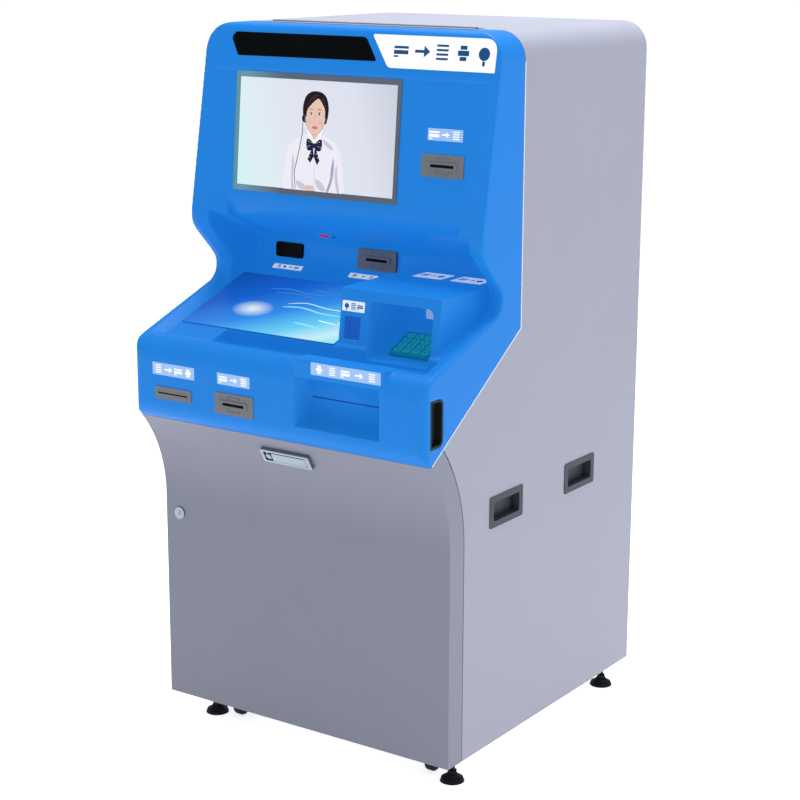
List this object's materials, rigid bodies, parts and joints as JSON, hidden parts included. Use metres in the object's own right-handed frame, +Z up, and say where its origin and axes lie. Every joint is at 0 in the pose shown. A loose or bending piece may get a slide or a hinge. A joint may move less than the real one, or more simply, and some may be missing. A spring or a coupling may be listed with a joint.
{
  "type": "self-service bank machine",
  "caption": "Free-standing bank machine: blue hinged fascia with two screens, card slots, PIN pad and form outlet on a gray steel cabinet with a curved front door.",
  "frame": {"origin": "on the floor under the middle of the machine", "axes": "+Z up, -Y towards the customer, +X to the customer's right"},
  "size_m": [0.774, 0.9028, 1.6049],
  "materials": {
    "gray_sheet": "powder-coated sheet steel, light gray",
    "door_gray": "powder-coated sheet steel, mid gray",
    "blue_paint": "glossy blue enamel on sheet steel",
    "frame_steel": "plain zinc-plated steel",
    "chrome": "polished chrome plate",
    "dark_plastic": "dark moulded plastic",
    "bezel_plastic": "gray moulded plastic",
    "light_plastic": "pale printer housing",
    "black_glass": "black gloss window",
    "screen_glass": "lit screen behind glass",
    "sign_white": "white printed sign plate",
    "label_blue": "pale blue label plates",
    "lamp": "coloured lamp lenses",
    "pad_metal": "teal metal PIN pad",
    "key_metal": "metal keys",
    "tyre": "dark wheel tread",
    "case_metal": "black computer case"
  },
  "bodies": {
    "cabinet": {"cabinet_wrap": "gray_sheet", "rear_panel": "gray_sheet", "base_plate": "gray_sheet", "inner_frame": "frame_steel", "computer_case": "case_metal", "form_printer": "light_plastic", "flush_handles": "dark_plastic", "panel_screws": "chrome", "power_inlet": "dark_plastic", "hinge_cabinet_leaf": "frame_steel", "fixed_caster_forks": "dark_plastic"},
    "fascia": {"fascia_shell": "blue_paint", "hinge_fascia_leaf": "frame_steel", "display_bezel": "bezel_plastic", "display_panel": "screen_glass", "sensor_window": "black_glass", "header_sign": "sign_white", "slot_bezels": "bezel_plastic", "scanner_window": "black_glass", "status_lights": "lamp", "touch_screen": "screen_glass", "fingerprint_reader": "dark_plastic", "pinpad_body": "pad_metal", "label_plates": "label_blue", "card_units": "dark_plastic", "receipt_printer": "dark_plastic", "side_pulls": "dark_plastic"},
    "door": {"door_panel": "door_gray", "door_hinge_arms": "frame_steel", "lock_bodies": "chrome"},
    "latch_handle": {"latch_handle": "chrome"},
    "latch_button": {"latch_button": "chrome"},
    "lock_plug": {"lock_plug": "chrome"},
    "paper_tray": {"paper_tray": "dark_plastic"},
    "caster_fork_left": {"caster_fork_left": "dark_plastic"},
    "caster_fork_right": {"caster_fork_right": "dark_plastic"},
    "caster_wheel_front_left": {"caster_wheel_front_left": "tyre"},
    "caster_wheel_front_right": {"caster_wheel_front_right": "tyre"},
    "caster_wheel_rear_left": {"caster_wheel_rear_left": "tyre"},
    "caster_wheel_rear_right": {"caster_wheel_rear_right": "tyre"},
    "foot_front_left": {"foot_front_left": "dark_plastic"},
    "foot_front_right": {"foot_front_right": "dark_plastic"},
    "foot_rear_left": {"foot_rear_left": "dark_plastic"},
    "foot_rear_right": {"foot_rear_right": "dark_plastic"},
    "pin_key_1_1": {"pin_key_1_1": "key_metal"},
    "pin_key_1_2": {"pin_key_1_2": "key_metal"},
    "pin_key_1_3": {"pin_key_1_3": "key_metal"},
    "pin_key_1_4": {"pin_key_1_4": "key_metal"},
    "pin_key_2_1": {"pin_key_2_1": "key_metal"},
    "pin_key_2_2": {"pin_key_2_2": "key_metal"},
    "pin_key_2_3": {"pin_key_2_3": "key_metal"},
    "pin_key_2_4": {"pin_key_2_4": "key_metal"},
    "pin_key_3_1": {"pin_key_3_1": "key_metal"},
    "pin_key_3_2": {"pin_key_3_2": "key_metal"},
    "pin_key_3_3": {"pin_key_3_3": "key_metal"},
    "pin_key_3_4": {"pin_key_3_4": "key_metal"},
    "pin_key_4_1": {"pin_key_4_1": "key_metal"},
    "pin_key_4_2": {"pin_key_4_2": "key_metal"},
    "pin_key_4_3": {"pin_key_4_3": "key_metal"},
    "pin_key_4_4": {"pin_key_4_4": "key_metal"}
  },
  "joints": [
    {"name": "fascia_lift", "type": "hinge", "parent": "cabinet", "child": "fascia", "pos_m": [0, -0.08465, 1.6025], "axis": [-1, 0, 0], "range_deg": [0, 70]},
    {"name": "door_swing", "type": "hinge", "parent": "cabinet", "child": "door", "pos_m": [0.377, -0.28715, 0.305], "axis": [0, 0, 1], "range_deg": [0, 95]},
    {"name": "latch_handle_pull", "type": "hinge", "parent": "door", "child": "latch_handle", "pos_m": [0.05, -0.39816, 0.70643], "axis": [0, -0.5099, 0.8603], "range_deg": [0, 70]},
    {"name": "latch_button_press", "type": "slide", "parent": "door", "child": "latch_button", "axis": [0, 0.8603, 0.5099], "range_m": [0, 0.003], "stiffness_N_per_m": 400},
    {"name": "lock_turn", "type": "hinge", "parent": "door", "child": "lock_plug", "pos_m": [-0.345, -0.34965, 0.513], "axis": [0, -1, 0], "range_deg": [0, 90]},
    {"name": "paper_tray_slide", "type": "slide", "parent": "cabinet", "child": "paper_tray", "axis": [0, -1, 0], "range_m": [0, 0.18]},
    {"name": "caster_swivel_left", "type": "hinge", "parent": "cabinet", "child": "caster_fork_left", "pos_m": [-0.27, -0.23965, 0.065], "axis": [0, 0, 1], "continuous": true},
    {"name": "caster_swivel_right", "type": "hinge", "parent": "cabinet", "child": "caster_fork_right", "pos_m": [0.27, -0.23965, 0.065], "axis": [0, 0, 1], "continuous": true},
    {"name": "caster_roll_front_left", "type": "hinge", "parent": "caster_fork_left", "child": "caster_wheel_front_left", "pos_m": [-0.27, -0.23165, 0.027], "axis": [1, 0, 0], "continuous": true},
    {"name": "caster_roll_front_right", "type": "hinge", "parent": "caster_fork_right", "child": "caster_wheel_front_right", "pos_m": [0.27, -0.23165, 0.027], "axis": [1, 0, 0], "continuous": true},
    {"name": "caster_roll_rear_left", "type": "hinge", "parent": "cabinet", "child": "caster_wheel_rear_left", "pos_m": [-0.27, 0.38535, 0.027], "axis": [1, 0, 0], "continuous": true},
    {"name": "caster_roll_rear_right", "type": "hinge", "parent": "cabinet", "child": "caster_wheel_rear_right", "pos_m": [0.27, 0.38535, 0.027], "axis": [1, 0, 0], "continuous": true},
    {"name": "foot_screw_front_left", "type": "slide", "parent": "cabinet", "child": "foot_front_left", "axis": [0, 0, -1], "range_m": [0, 0.02]},
    {"name": "foot_screw_front_right", "type": "slide", "parent": "cabinet", "child": "foot_front_right", "axis": [0, 0, -1], "range_m": [0, 0.02]},
    {"name": "foot_screw_rear_left", "type": "slide", "parent": "cabinet", "child": "foot_rear_left", "axis": [0, 0, -1], "range_m": [0, 0.02]},
    {"name": "foot_screw_rear_right", "type": "slide", "parent": "cabinet", "child": "foot_rear_right", "axis": [0, 0, -1], "range_m": [0, 0.02]},
    {"name": "pin_key_1_1_press", "type": "slide", "parent": "fascia", "child": "pin_key_1_1", "axis": [0, 0.3843, -0.9232], "range_m": [0, 0.002], "stiffness_N_per_m": 400},
    {"name": "pin_key_1_2_press", "type": "slide", "parent": "fascia", "child": "pin_key_1_2", "axis": [0, 0.3843, -0.9232], "range_m": [0, 0.002], "stiffness_N_per_m": 400},
    {"name": "pin_key_1_3_press", "type": "slide", "parent": "fascia", "child": "pin_key_1_3", "axis": [0, 0.3843, -0.9232], "range_m": [0, 0.002], "stiffness_N_per_m": 400},
    {"name": "pin_key_1_4_press", "type": "slide", "parent": "fascia", "child": "pin_key_1_4", "axis": [0, 0.3843, -0.9232], "range_m": [0, 0.002], "stiffness_N_per_m": 400},
    {"name": "pin_key_2_1_press", "type": "slide", "parent": "fascia", "child": "pin_key_2_1", "axis": [0, 0.3843, -0.9232], "range_m": [0, 0.002], "stiffness_N_per_m": 400},
    {"name": "pin_key_2_2_press", "type": "slide", "parent": "fascia", "child": "pin_key_2_2", "axis": [0, 0.3843, -0.9232], "range_m": [0, 0.002], "stiffness_N_per_m": 400},
    {"name": "pin_key_2_3_press", "type": "slide", "parent": "fascia", "child": "pin_key_2_3", "axis": [0, 0.3843, -0.9232], "range_m": [0, 0.002], "stiffness_N_per_m": 400},
    {"name": "pin_key_2_4_press", "type": "slide", "parent": "fascia", "child": "pin_key_2_4", "axis": [0, 0.3843, -0.9232], "range_m": [0, 0.002], "stiffness_N_per_m": 400},
    {"name": "pin_key_3_1_press", "type": "slide", "parent": "fascia", "child": "pin_key_3_1", "axis": [0, 0.3843, -0.9232], "range_m": [0, 0.002], "stiffness_N_per_m": 400},
    {"name": "pin_key_3_2_press", "type": "slide", "parent": "fascia", "child": "pin_key_3_2", "axis": [0, 0.3843, -0.9232], "range_m": [0, 0.002], "stiffness_N_per_m": 400},
    {"name": "pin_key_3_3_press", "type": "slide", "parent": "fascia", "child": "pin_key_3_3", "axis": [0, 0.3843, -0.9232], "range_m": [0, 0.002], "stiffness_N_per_m": 400},
    {"name": "pin_key_3_4_press", "type": "slide", "parent": "fascia", "child": "pin_key_3_4", "axis": [0, 0.3843, -0.9232], "range_m": [0, 0.002], "stiffness_N_per_m": 400},
    {"name": "pin_key_4_1_press", "type": "slide", "parent": "fascia", "child": "pin_key_4_1", "axis": [0, 0.3843, -0.9232], "range_m": [0, 0.002], "stiffness_N_per_m": 400},
    {"name": "pin_key_4_2_press", "type": "slide", "parent": "fascia", "child": "pin_key_4_2", "axis": [0, 0.3843, -0.9232], "range_m": [0, 0.002], "stiffness_N_per_m": 400},
    {"name": "pin_key_4_3_press", "type": "slide", "parent": "fascia", "child": "pin_key_4_3", "axis": [0, 0.3843, -0.9232], "range_m": [0, 0.002], "stiffness_N_per_m": 400},
    {"name": "pin_key_4_4_press", "type": "slide", "parent": "fascia", "child": "pin_key_4_4", "axis": [0, 0.3843, -0.9232], "range_m": [0, 0.002], "stiffness_N_per_m": 400}
  ]
}
